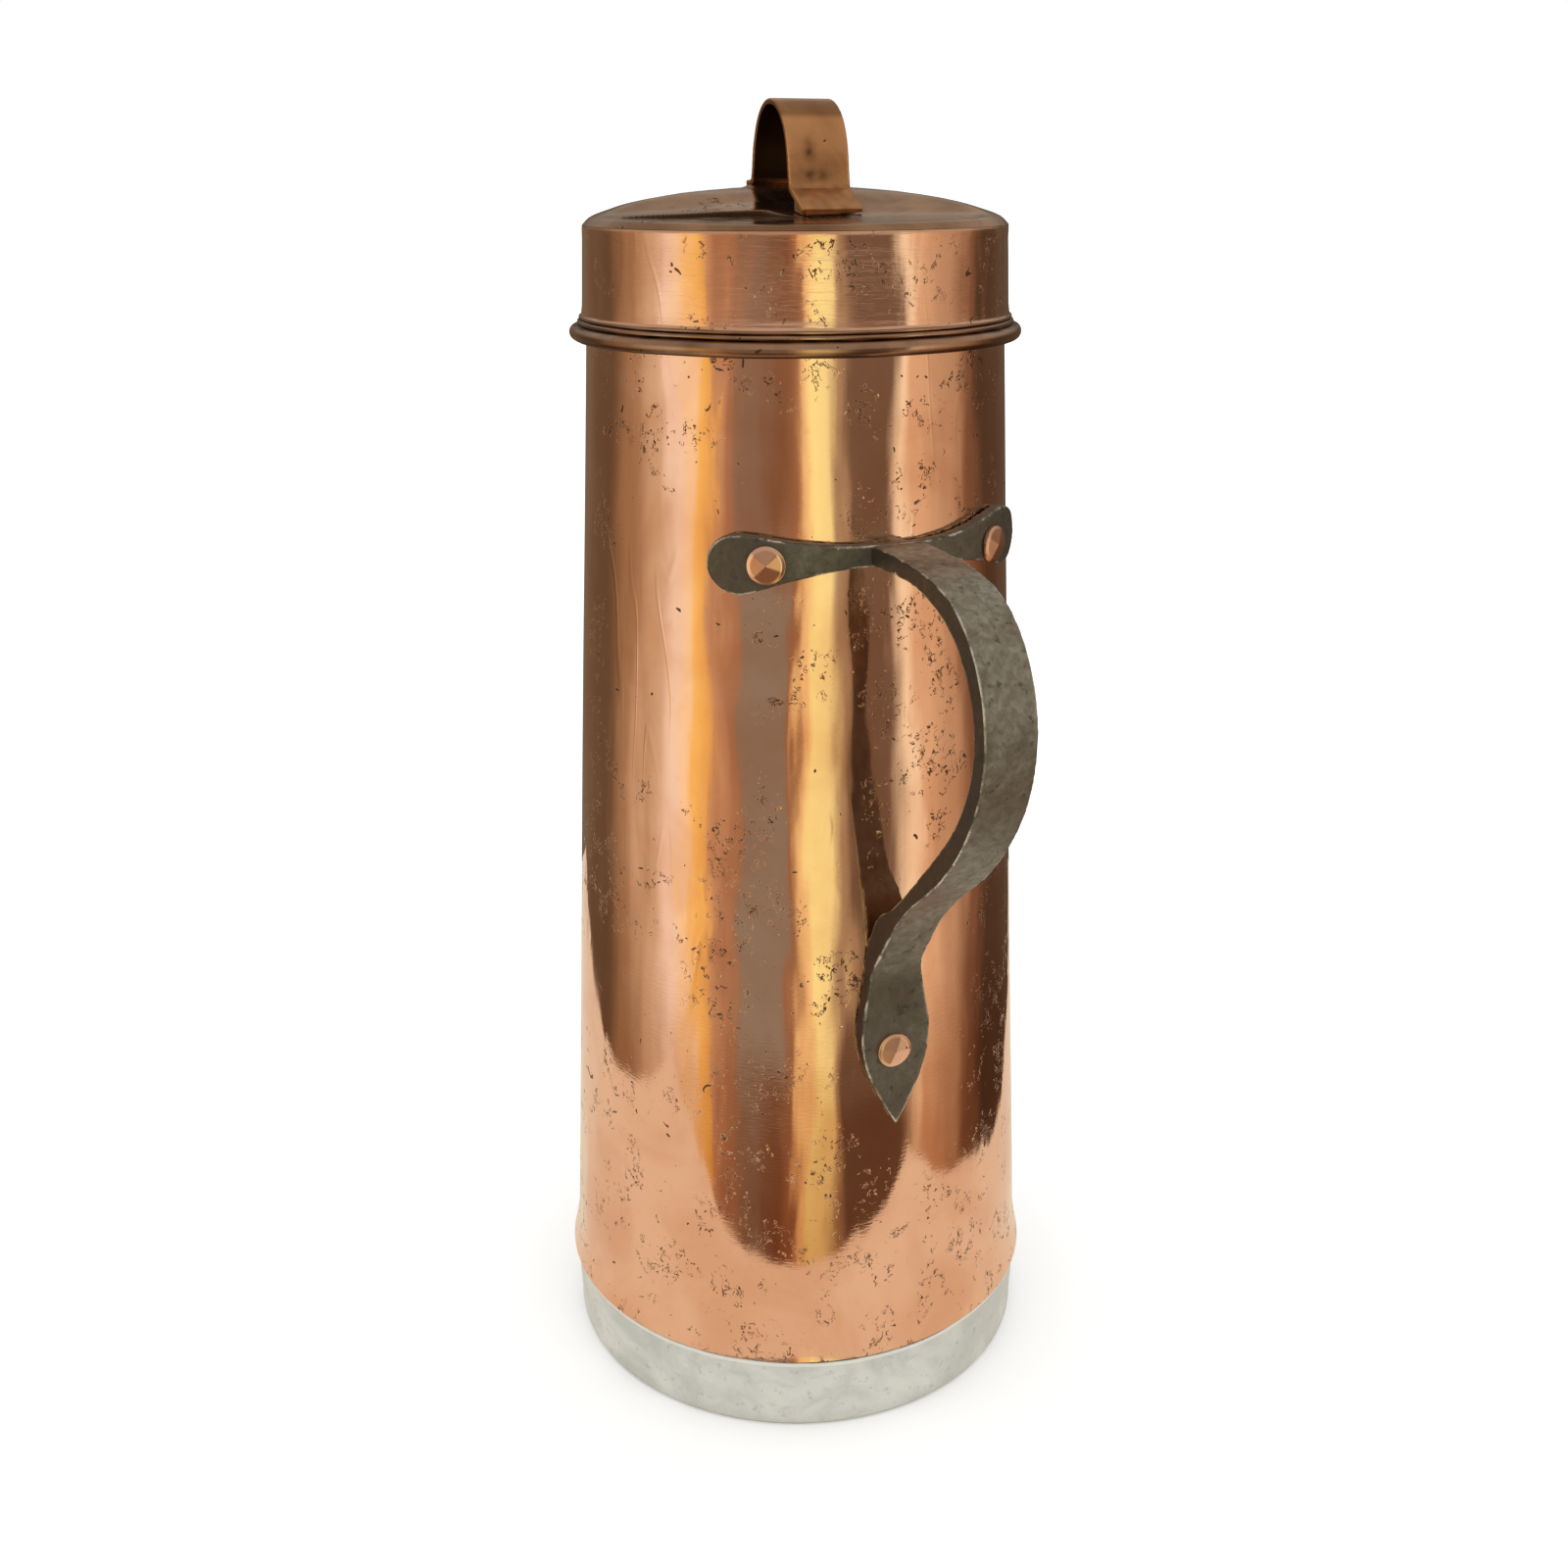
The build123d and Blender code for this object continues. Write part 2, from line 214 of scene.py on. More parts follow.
class Look(Nodes):
    """One material, with its pattern fixed to the object. fixed sets uniform values of its shader."""

    def __init__(self, name, **fixed):
        self.material = bpy.data.materials.new(name)
        self.material.use_nodes = True
        super().__init__(self.material.node_tree)
        self.shader = self.tree.nodes["Principled BSDF"]
        for key, value in fixed.items():
            self.shader.inputs[key.replace("_", " ")].default_value = value
        self.point = self.add("TexCoord").outputs["Object"]

    def scaled(self, x, y, z, vector=None):
        return self.add("Mapping", {"Vector": vector or self.point, "Scale": (x, y, z)}).outputs[0]

    def noise(self, scale, detail=2.0, roughness=0.5, distortion=0.0, vector=None):
        node = self.add(
            "TexNoise",
            {"Vector": vector or self.point, "Scale": scale, "Detail": detail, "Roughness": roughness,
             "Distortion": distortion},
        )
        return node.outputs["Fac"]

    def bump(self, height, distance, normal=None):
        inputs = {"Height": height, "Distance": distance, "Strength": 1.0}
        if normal:
            inputs["Normal"] = normal
        return self.add("Bump", inputs).outputs[0]

    def xyz(self):
        return self.add("SeparateXYZ", {0: self.point}).outputs

    def finish(self, color=None, roughness=None, normal=None):
        for key, value in (("Base Color", color), ("Roughness", roughness), ("Normal", normal)):
            if value is not None:
                self.tree.links.new(value, self.shader.inputs[key])
        return self.material


def pits(n, amount, seed):
    """Squiggly corrosion pits in clusters: 1 in a pit, 0 on the clean metal. amount widens the clusters."""
    spot = n.add("Mapping", {"Vector": n.point, "Location": (seed, seed * 0.7, -seed)}).outputs[0]
    field = n.noise(330.0, 2.0, 0.6, 1.6, spot)
    line = n.math("ABSOLUTE", n.math("SUBTRACT", field, 0.5))
    line = n.steps(line, 0.036, 0.020)
    broken = n.steps(n.noise(420.0, 1.0, 0.5, 0.6, n.scaled(1.0, 1.0, 0.8, spot)), 0.52, 0.57)
    cluster = n.steps(n.noise(75.0, 3.0, 0.6, 0.4, spot), 0.52, 0.58)
    group = n.steps(n.math("ADD", n.noise(24.0, 2.0, 0.5, 0.0, spot), amount), 0.50, 0.56)
    mask = n.math("MULTIPLY", n.math("MULTIPLY", line, broken), n.math("MULTIPLY", cluster, group))
    lone = n.steps(n.noise(280.0, 1.0, 0.4, 1.0, spot), 0.775, 0.79)
    return n.math("MAXIMUM", mask, lone)


def copper(name, light=(0.93, 0.56, 0.39), deep=(0.82, 0.44, 0.28), rough=(0.04, 0.12), pit=0.0, lines=0.0,
           hammer=0.0004, tarnish=0.0, low_pits=False, seed=0.0, darkened=False):
    """Polished copper with wavy planishing marks, creases, corrosion pits, fine scratches and light tarnish.

    light and deep are its colours, rough the range of its roughness, pit the spread of its pits, lines the
    height of fine lines round it and hammer that of its marks. darkened reads the point attribute that holds
    stains and painted shade.
    """
    n = Look(name, Metallic=1.0)
    x, y, z = n.xyz()
    patch = n.noise(26.0, 4.0, 0.55, 0.5)
    color = n.mix(n.steps(patch, 0.35, 0.7), light, deep)
    fine = n.noise(240.0, 4.0, 0.6)
    color = n.mix(n.steps(fine, 0.55, 0.75, 0.0, 0.35), color, deep)
    if tarnish:
        brown = n.steps(n.math("ADD", n.noise(40.0, 5.0, 0.65, 0.8), tarnish - 0.5), 0.42, 0.72)
        color = n.mix(brown, color, (0.20, 0.10, 0.055))
    amount = pit
    if low_pits:
        near_foot = n.steps(z, 0.12, 0.05, 0.0, 0.14)
        near_lid = n.steps(z, 0.315, 0.342, 0.0, 0.10)
        amount = n.math("ADD", n.math("ADD", near_foot, near_lid), pit)
    pit_mask = pits(n, amount, seed)
    color = n.mix(n.math("MULTIPLY", pit_mask, 0.92), color, (0.11, 0.048, 0.022))
    smear = n.noise(70.0, 3.0, 0.6, 0.0, n.scaled(1.0, 1.0, 0.35))
    roughness = n.steps(smear, 0.35, 0.72, rough[0], rough[1])
    if tarnish:
        roughness = n.math("ADD", roughness, n.math("MULTIPLY", brown, 0.14))
    if darkened:
        # The point attribute holds stains and painted shade: in the bead's grooves and under its roll, along
        # the crease, and round and under the lid handle.
        darkening = n.add("Attribute", attribute_name="darkening").outputs["Fac"]
        color = n.mix(darkening, color, (0.055, 0.026, 0.012))
        roughness = n.math("ADD", roughness, n.math("MULTIPLY", darkening, 0.25))
    roughness = n.math("ADD", roughness, n.math("MULTIPLY", pit_mask, 0.35), clamp=True)
    wave = n.noise(23.0, 2.0, 0.45, 0.4, n.scaled(1.0, 1.0, 0.34))
    normal = n.bump(wave, hammer * 4)
    ripple = n.noise(85.0, 1.5, 0.45, 0.5, n.scaled(1.0, 1.0, 0.25))
    normal = n.bump(ripple, hammer * 0.42, normal)
    crease = n.noise(34.0, 2.0, 0.45, 1.2, n.scaled(1.0, 1.0, 0.20))
    crease = n.steps(n.math("ABSOLUTE", n.math("SUBTRACT", crease, 0.5)), 0.030, 0.0)
    kept = n.steps(n.noise(21.0, 2.0, 0.5, 0.0, n.scaled(1.0, 1.0, 0.6)), 0.50, 0.62)
    normal = n.bump(n.math("MULTIPLY", crease, kept), 0.00004, normal)
    streak = n.noise(190.0, 2.0, 0.5, 0.2, n.scaled(1.0, 1.0, 0.05))
    normal = n.bump(streak, 0.00003, normal)
    if lines:
        angle = n.math("ARCTAN2", y, x)
        vector = n.add("CombineXYZ", {0: n.math("MULTIPLY", angle, 3.0), 1: n.math("MULTIPLY", z, 620.0)})
        normal = n.bump(n.noise(1.0, 3.0, 0.75, 0.15, vector.outputs[0]), lines, normal)
    scratch = n.noise(900.0, 2.0, 0.6, 0.0, n.scaled(0.35, 0.35, 1.6))
    normal = n.bump(scratch, 0.00001, normal)
    normal = n.bump(n.math("MULTIPLY", pit_mask, -1.0), 0.0004, normal)
    return n.finish(color, roughness, normal)


def iron(name):
    """Forged iron: mottled grey-brown faces, hammer marks, painted shade on the sides and towards the bottom,
    and edges lighter from wear and from a painted glint.
    """
    n = Look(name, Metallic=0.72)
    geometry = n.add("NewGeometry")
    facing = n.add("SeparateXYZ", {0: geometry.outputs["Normal"]}).outputs
    x, _, z = n.xyz()
    fine = n.noise(420.0, 5.0, 0.62, 0.3)
    broad = n.noise(48.0, 4.0, 0.55, 0.6)
    color = n.mix(n.steps(fine, 0.30, 0.72), (0.190, 0.165, 0.122), (0.330, 0.300, 0.235))
    color = n.mix(n.steps(broad, 0.42, 0.64, 0.0, 0.60), color, (0.130, 0.100, 0.066))
    # Painted shade: the iron is darker towards the bottom.
    lower = n.steps(z, 0.285, 0.205)
    color = n.mix(n.math("MULTIPLY", lower, 0.62), color, (0.095, 0.074, 0.050))
    # Painted shade: the side faces of the iron are darker.
    side_shade = n.steps(n.math("ABSOLUTE", facing[1]), 0.62, 0.88)
    color = n.mix(n.math("MULTIPLY", side_shade, 0.86), color, (0.045, 0.038, 0.029))
    over_wall = n.steps(x, 0.078, 0.073)
    color = n.mix(n.math("MULTIPLY", over_wall, 0.72), color, (0.070, 0.056, 0.038))
    rust = n.steps(n.noise(95.0, 5.0, 0.7, 0.8), 0.58, 0.70)
    color = n.mix(n.math("MULTIPLY", rust, 0.5), color, (0.125, 0.078, 0.040))
    scale_spot = n.steps(n.noise(300.0, 3.0, 0.6), 0.60, 0.68)
    color = n.mix(n.math("MULTIPLY", scale_spot, 0.6), color, (0.052, 0.044, 0.034))
    # Lighter edges, partly from wear and partly a painted glint; they are also smoother.
    worn_edge_and_glint = n.steps(geometry.outputs["Pointiness"], 0.512, 0.54)
    broken = n.steps(n.noise(160.0, 3.0, 0.6), 0.42, 0.60)
    worn_edge_and_glint = n.math("MULTIPLY", worn_edge_and_glint, broken)
    color = n.mix(n.math("MULTIPLY", worn_edge_and_glint, 0.85), color, (0.66, 0.60, 0.50))
    roughness = n.steps(fine, 0.3, 0.7, 0.44, 0.31)
    roughness = n.math("SUBTRACT", roughness, n.math("MULTIPLY", worn_edge_and_glint, 0.16))
    normal = n.bump(n.noise(70.0, 2.0, 0.45, 0.3), 0.00045)
    normal = n.bump(n.noise(420.0, 4.0, 0.6), 0.00009, normal)
    normal = n.bump(n.noise(1500.0, 2.0, 0.6), 0.00003, normal)
    return n.finish(color, roughness, normal)


def pan_metal(name):
    """Dull grey metal with soft cloudy patches, small scuffs, and a painted shadow line under the copper's
    edge with a painted highlight line below it.
    """
    n = Look(name, Metallic=0.55)
    z = n.xyz()[2]
    cloud = n.noise(38.0, 5.0, 0.62, 0.8)
    color = n.mix(n.steps(cloud, 0.34, 0.68), (0.50, 0.515, 0.495), (0.655, 0.67, 0.645))
    rub = n.noise(120.0, 4.0, 0.6, 0.4, n.scaled(1.0, 1.0, 1.8))
    color = n.mix(n.steps(rub, 0.52, 0.74, 0.0, 0.45), color, (0.44, 0.45, 0.43))
    spot = n.steps(n.noise(330.0, 3.0, 0.6), 0.60, 0.70)
    color = n.mix(n.math("MULTIPLY", spot, 0.35), color, (0.26, 0.26, 0.24))
    height = n.math("ADD", z, n.math("MULTIPLY", n.noise(60.0, 3.0), 0.0010))
    # Painted highlight: a light line on the pan just below the shadow under the copper's edge.
    highlight_line = n.math("MULTIPLY", n.steps(height, 0.0248, 0.0253), n.steps(height, 0.0266, 0.0261))
    color = n.mix(n.math("MULTIPLY", highlight_line, 0.6), color, (0.84, 0.84, 0.80))
    # Painted shadow in the gap under the copper's edge; it is also rougher.
    gap_shadow = n.steps(height, 0.0263, 0.0270)
    color = n.mix(gap_shadow, color, (0.030, 0.022, 0.016))
    low = n.steps(n.math("ADD", z, n.math("MULTIPLY", n.noise(48.0, 4.0), 0.006)), 0.010, 0.0035)
    color = n.mix(n.math("MULTIPLY", low, 0.30), color, (0.36, 0.37, 0.35))
    roughness = n.steps(cloud, 0.3, 0.7, 0.34, 0.48)
    roughness = n.math("ADD", roughness, n.math("MULTIPLY", gap_shadow, 0.4))
    scuff = n.noise(260.0, 3.0, 0.6, 0.2, n.scaled(1.0, 1.0, 3.0))
    normal = n.bump(n.noise(45.0, 3.0, 0.5), 0.0006)
    normal = n.bump(scuff, 0.00004, normal)
    return n.finish(color, roughness, normal)


def dark_copper(name, light, deep, rough):
    """Unpolished copper of the inside, stained by use."""
    n = Look(name, Metallic=0.9)
    darkening = n.noise(30.0, 6.0, 0.65, 0.8)
    color = n.mix(n.steps(darkening, 0.35, 0.68), light, deep)
    drip = n.noise(90.0, 3.0, 0.6, 0.0, n.scaled(1.0, 1.0, 0.12))
    color = n.mix(n.steps(drip, 0.5, 0.75, 0.0, 0.5), color, deep)
    roughness = n.steps(darkening, 0.3, 0.7, rough - 0.1, rough + 0.12)
    normal = n.bump(n.noise(60.0, 3.0, 0.5), 0.0008)
    normal = n.bump(n.noise(700.0, 3.0, 0.6), 0.00006, normal)
    return n.finish(color, roughness, normal)


body_copper = copper("body_copper", pit=0.03, low_pits=True, hammer=0.00055, seed=0.31)
skirt_copper = copper("lid_skirt_copper", pit=0.06, lines=0.00013, hammer=0.0008, seed=0.77)
crown_copper = copper(
    "lid_crown_copper", light=(0.50, 0.295, 0.175), deep=(0.27, 0.145, 0.080), rough=(0.12, 0.24),
    tarnish=0.34, hammer=0.0002, seed=0.12, darkened=True,
)
loop_copper = copper(
    "lid_handle_copper", light=(0.86, 0.44, 0.20), deep=(0.56, 0.26, 0.115), rough=(0.15, 0.25), tarnish=0.28,
    pit=-0.3, hammer=0.0002, seed=0.52, darkened=True,
)
rivet_copper = copper(
    "rivet_copper", light=(0.93, 0.56, 0.40), deep=(0.80, 0.44, 0.31), rough=(0.22, 0.34), pit=-0.3,
    hammer=0.00015,
)
bead_copper = copper(
    "lid_bead_copper", light=(0.56, 0.33, 0.22), deep=(0.28, 0.155, 0.095), rough=(0.12, 0.24), tarnish=0.36,
    pit=-0.1, hammer=0.0002, seed=0.9, darkened=True,
)
inner_copper = dark_copper("inner_copper", (0.34, 0.19, 0.12), (0.12, 0.07, 0.045), 0.48)
forged_iron = iron("forged_iron")
base_metal = pan_metal("base_metal")

# --- body shell ---------------------------------------------------------------------------------------
SEGMENTS = 384
SEAM_AZIMUTH, SEAM_STEP = 174.0, 0.35


def dress(a, z):
    """Unevenness of the hand-worked wall, in millimetres inwards."""
    x, y = cos(a) * 78, sin(a) * 78
    long_wave = perlin(x / 34, y / 34, z / 120)
    short_wave = perlin(x / 11 + 9, y / 11, z / 46)
    return 0.30 * (1 + long_wave) + 0.05 * (1 + short_wave)


def shell_shift(a, r, z, i):
    """Uneven wall with the slight step of the seam at the back. Both die out at the foot and the mouth."""
    calm = smooth((z - SHELL_EDGE_Z) / 14) * smooth((MOUTH_Z + 1 - z) / 25)
    inwards = dress(a, z) * calm
    past_seam = degrees(a) - SEAM_AZIMUTH
    seam = SEAM_STEP * smooth(past_seam / 0.5) * smooth((12.0 - past_seam) / 6.0)
    return r - inwards + min(seam, inwards), z


def flare(r_top, r_edge, count):
    """Points down the foot flare, from its start at WALL_Z to the edge."""
    depth = WALL_Z - SHELL_EDGE_Z
    points = []
    for k in range(count + 1):
        t = k / count
        straight = r_top + WALL_SLOPE * depth * t
        points.append((straight + (r_edge - r_top - WALL_SLOPE * depth) * t * t, WALL_Z - depth * t))
    return points


mouth_r = wall_radius(MOUTH_Z)
outer = rows((mouth_r, MOUTH_Z - 0.3), (WALL_R, WALL_Z), 130) + flare(WALL_R, SHELL_EDGE_R, 12)
inner = rows((mouth_r - SHEET, MOUTH_Z - 0.3), (WALL_R - SHEET, WALL_Z), 40)
inner += flare(WALL_R - SHEET, SHELL_EDGE_R - SHEET, 6)
lip = [(mouth_r - SHEET + 0.3, MOUTH_Z), (mouth_r - 0.3, MOUTH_Z)]
outer[-1] = (SHELL_EDGE_R, SHELL_EDGE_Z + 0.25)
outer += [(SHELL_EDGE_R - 0.25, SHELL_EDGE_Z)]
shell_slots = [0] * len(outer) + [1] * (len(inner) - 1) + [0] * (1 + len(lip))
body_shell = lathe(
    "copper_body", outer + inner[::-1] + lip, SEGMENTS, [body_copper, inner_copper], shell_shift, shell_slots,
)
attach(body_shell, "can")
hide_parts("body_shell")

# --- base pan -----------------------------------------------------------------------------------------
PAN_GAP = 0.05
lap_r = WALL_R - SHEET - PAN_GAP
pan_edge_r = SHELL_EDGE_R - SHEET - PAN_GAP
pan_top_r = lap_r - WALL_SLOPE * (PAN_TOP_Z - WALL_Z)


def pan_wall(inset):
    """Points down the pan's wall from its top to just above the floor corner."""
    points = rows((pan_top_r - inset, PAN_TOP_Z), (lap_r - inset, WALL_Z), 3)
    points += flare(lap_r - inset, pan_edge_r - inset, 10)
    return points


outside = pan_wall(0.0)
outside += rows((pan_edge_r, SHELL_EDGE_Z - 0.4), (PAN_FLOOR_R, PAN_CORNER + 0.2), 18)
outside += arc(PAN_FLOOR_R - PAN_CORNER, PAN_CORNER, PAN_CORNER, 0, -90, 8)
outside += rows((PAN_FLOOR_R - PAN_CORNER - 1, 0.0), (4.0, 0.0), 12) + [(0.0, 0.0)]
inside = pan_wall(PAN_SHEET)
inside += rows((pan_edge_r - PAN_SHEET, SHELL_EDGE_Z - 0.4), (PAN_FLOOR_R - PAN_SHEET, PAN_CORNER + 0.2), 8)
inside += arc(PAN_FLOOR_R - PAN_CORNER, PAN_CORNER, PAN_CORNER - PAN_SHEET, 0, -90, 6)
inside += rows((PAN_FLOOR_R - PAN_CORNER - 1, PAN_SHEET), (4.0, PAN_SHEET), 12) + [(0.0, PAN_SHEET)]


def pan_shift(a, r, z, i):
    """Slight unevenness of the pan's wall where it shows."""
    if z < 0.6 or z > SHELL_EDGE_Z - 0.6 or r < PAN_FLOOR_R - PAN_CORNER:
        return r, z
    calm = smooth((z - 0.6) / 6) * smooth((SHELL_EDGE_Z - 0.6 - z) / 4)
    return r - 0.14 * calm * (1 + perlin(cos(a) * 2.6, sin(a) * 2.6, z / 26)), z


base_pan = lathe("base_pan_metal", outside + inside[::-1], 256, [base_metal], pan_shift)
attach(base_pan, "can")
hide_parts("base_pan")

# --- lid skirt with its wired bead ------------------------------------------------------------------
RIDGE_TOP_Z, INNER_END_Z, LEDGE_R = 350.7, 346.6, 59.5
# Two ridges and the roll over the wire: distance from the axis, height, radius, first and last angle, steps.
BEAD_ARCS = (
    (64.8, 350.1, 0.55, 80, -70, 7),
    (65.1, 348.7, 0.8, 70, -60, 8),
    (66.2, 345.7, 2.15, 96, -185, 34),
)
skirt_top = LIP_Z - 0.05


def skirt_outer(z):
    low = wall_radius(SKIRT_END_Z) + LID_GAP + LID_SHEET
    return low + (FOLD_R - low) * (z - SKIRT_END_Z) / (skirt_top - SKIRT_END_Z)


def skirt_inner(z):
    return wall_radius(z) + LID_GAP


# The wall's top covers the edge of the crown.
skirt_profile = [(63.0, skirt_top), (63.0, 375.7), (FOLD_R - 0.1, 375.88), (FOLD_R - 0.03, 375.8)]
wall_top = skirt_top - 0.1
skirt_profile += rows((skirt_outer(wall_top), wall_top), (skirt_outer(RIDGE_TOP_Z), RIDGE_TOP_Z), 60)
bead_from = len(skirt_profile)
for bead_arc in BEAD_ARCS:
    skirt_profile += arc(*bead_arc)
inner_from = len(skirt_profile)
ledge_z = skirt_top - LID_SHEET
corner_z = ledge_z - 0.4
skirt_profile += rows((skirt_inner(INNER_END_Z), INNER_END_Z), (skirt_inner(corner_z), corner_z), 12)
skirt_profile += [(skirt_inner(ledge_z) - 0.3, ledge_z), (LEDGE_R, ledge_z), (LEDGE_R, skirt_top)]


def skirt_shift(a, r, z, i):
    """Wavy roll and ridges, and an uneven wall that is true at both ends."""
    if i == 0 or i >= inner_from or z > skirt_top - 0.05:
        return r, z
    x, y = cos(a) * 64, sin(a) * 64
    if i >= bead_from:
        return r + 0.05 * perlin(x / 9, y / 9, z / 3), z + 0.12 * perlin(x / 22, y / 22, 4.0)
    calm = smooth((skirt_top - z) / 3) * smooth((z - RIDGE_TOP_Z) / 3)
    wave = 0.15 * (1 + perlin(x / 15, y / 15, z / 24)) + 0.03 * (1 + perlin(x / 6, y / 6, z / 12))
    return r - calm * wave, z


skirt_slots = [0] * bead_from + [1] * (inner_from - bead_from)
skirt_slots += [2] * (len(skirt_profile) - inner_from - 1) + [0]
lid_skirt = lathe(
    "lid_skirt_band", skirt_profile, 320, [skirt_copper, bead_copper, inner_copper], skirt_shift, skirt_slots,
)


# Grooves round the bead: height and width.
GROOVES = ((347.9, 0.35), (349.55, 0.25), (350.85, 0.25))


def bead_shade(x, y, z, normal):
    """Painted shade in the grooves over the roll and on its underside, and a slight uneven darkening all
    over.
    """
    r = sqrt(x * x + y * y)
    if z > 351.2 or r < 63.9:
        return 0.0
    # Painted shade in the grooves and on the underside of the roll.
    grooves = sum(exp(-((z - height) / width) ** 2) for height, width in GROOVES)
    under = smooth((344.9 - z) / 1.0)
    ragged = 0.75 + 0.6 * perlin(x / 6, y / 6, z)
    return max(grooves * ragged, 0.7 * under) + 0.15 * ragged


add_stain_and_shade(lid_skirt, bead_shade)
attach(lid_skirt, "lid")
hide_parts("lid_skirt")

# --- lid crown with its pushed-in front ----------------------------------------------------------------
CROWN_EDGE_R, CROWN_TOP_R = 62.95, 62.9
# Solder under the loop's rear foot: its middle, half its length, half its width, height.
SOLDER_X, SOLDER_LENGTH, SOLDER_WIDTH, SOLDER_HEIGHT = -11.5, 4.0, 11.0, 0.75
dome = spline(CROWN, 80)
front = spline(FRONT, 80)
crease = spline(CREASE, 60)


def height_on(curve, at, item=1):
    """Another coordinate of a curve where its first, which rises along it, is at."""
    for one, two in zip(curve, curve[1:]):
        if at <= two[0]:
            t = max(0.0, (at - one[0]) / (two[0] - one[0]))
            return one[item] + t * (two[item] - one[item])
    return curve[-1][item]


def soft_min(a, b, k):
    """The lower of two heights, rounded where they cross."""
    h = max(k - abs(a - b), 0.0) / k
    return min(a, b) - h * h * k * 0.25


def front_place(x, y):
    """How far a point lies out towards the front, and how far across it."""
    a = radians(FRONT_AZIMUTH)
    return x * cos(a) + y * sin(a), y * cos(a) - x * sin(a)


def crown_height(x, y):
    """Top of the dome with its pushed-in front, crease, unevenness and the solder under the rear foot."""
    z = height_on(dome, sqrt(x * x + y * y))
    reach, across = front_place(x, y)
    if reach > FRONT[0][0]:
        z = soft_min(z, height_on(front, reach), 0.8)
    if CREASE[0][0] < across < CREASE[-1][0]:
        behind = height_on(crease, across) - reach
        step = height_on(crease, across, 2)
        if behind > -0.35:
            z += step * min(1.0, (behind + 0.35) / 0.7) * smooth((13 - behind) / 12)
    calm = smooth((62 - sqrt(x * x + y * y)) / 8)
    z -= 0.12 * (1 + perlin(x / 14, y / 14, 3.0)) * calm
    z -= 0.03 * (1 + perlin(x / 4, y / 4, 7.0)) * calm
    solder = exp(-((x - SOLDER_X) / SOLDER_LENGTH) ** 2) * smooth((SOLDER_WIDTH - abs(y)) / 1.5)
    return z + SOLDER_HEIGHT * solder


crown_radii = [CROWN_TOP_R * (1 - k / 150) for k in range(150)] + [0.0]
crown_profile = [(CROWN_EDGE_R, LIP_Z), (CROWN_EDGE_R, FOLD_Z - 0.2), (FOLD_R - 0.05, FOLD_Z)]
top_from = len(crown_profile)
crown_profile += [(r, 1.0) for r in crown_radii]
under_from = len(crown_profile)
crown_profile += [(r, -1.0) for r in crown_radii[::-4] if r < 61.0] + [(61.9, LIP_Z + 0.6), (62.5, LIP_Z)]


def crown_shift(a, r, z, i):
    """Puts the outline's top points, at 1, and underside points, at -1, on the crown's two faces."""
    if i < top_from or z > 1.5:
        return r, z
    height = crown_height(r * cos(a), r * sin(a))
    return r, height if z > 0 else height - LID_SHEET


crown_slots = [0] * (under_from - 1) + [1] * (len(crown_profile) - under_from + 1)
lid_crown = lathe(
    "lid_crown_dome", crown_profile, 480, [crown_copper, inner_copper], crown_shift, crown_slots,
)


def crown_shade_and_patina(x, y, z, normal):
    """Painted shadow along the foot of the crease, and painted shade with darker patina round the feet of the
    lid handle.
    """
    reach, across = front_place(x, y)
    crease_shadow = 0.0
    # Painted shadow along the foot of the crease.
    if CREASE[0][0] < across < CREASE[-1][0]:
        gap = reach - height_on(crease, across)
        step = height_on(crease, across, 2)
        width = 0.6 + 1.5 * step
        crease_shadow = smooth((gap + 0.6) / 0.5) * smooth((width - gap) / 0.8) * smooth(step / 0.5)
    # Painted shade with darker patina on the crown under and round the lid handle.
    loop_shade_and_patina = smooth((12.5 - abs(y)) / 3.0) * smooth((29.5 - x) / 3.0) * smooth((x + 24.0) / 3.0)
    return max(crease_shadow, loop_shade_and_patina * (0.45 + 0.5 * perlin(x / 5, y / 5, 2.0)))


add_stain_and_shade(lid_crown, crown_shade_and_patina)
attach(lid_crown, "lid")
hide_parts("lid_crown")


# --- forged and bent pieces ------------------------------------------------------------------------------
def worked(name, node, voxel, passes, dent, material):
    """A CAD solid's surface remeshed with cells of voxel mm, softened at its edges and dented inwards."""
    rough = bpy.data.objects.new(name + "_rough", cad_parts[node].data.copy())
    bpy.context.scene.collection.objects.link(rough)
    remesh = rough.modifiers.new("remesh", "REMESH")
    remesh.mode = "VOXEL"
    remesh.voxel_size = voxel * MM
    remesh.use_smooth_shade = True
    graph = bpy.context.evaluated_depsgraph_get()
    result = bpy.data.meshes.new_from_object(rough.evaluated_get(graph))
    bpy.data.objects.remove(rough)
    bm = bmesh.new()
    bm.from_mesh(result)
    axes = {"use_axis_x": True, "use_axis_y": True, "use_axis_z": True}
    for _ in range(passes):
        bmesh.ops.smooth_vert(bm, verts=bm.verts, factor=0.5, **axes)
    bm.normal_update()
    for v in bm.verts:
        x, y, z = v.co / MM
        v.co -= v.normal * MM * dent(x, y, z)
    bm.to_mesh(result)
    bm.free()
    result.materials.clear()
    result.materials.append(material)
    result.polygons.foreach_set("use_smooth", [True] * len(result.polygons))
    result.polygons.foreach_set("material_index", [0] * len(result.polygons))
    result.name = name
    obj = bpy.data.objects.new(name, result)
    bpy.context.scene.collection.objects.link(obj)
    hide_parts(node)
    return obj


def hammered(x, y, z):
    """Depth of the hammer marks on the iron."""
    return 0.10 * (1 + perlin(x / 7, y / 7, z / 7)) + 0.03 * (1 + perlin(x / 2.4, y / 2.4, z / 2.4))


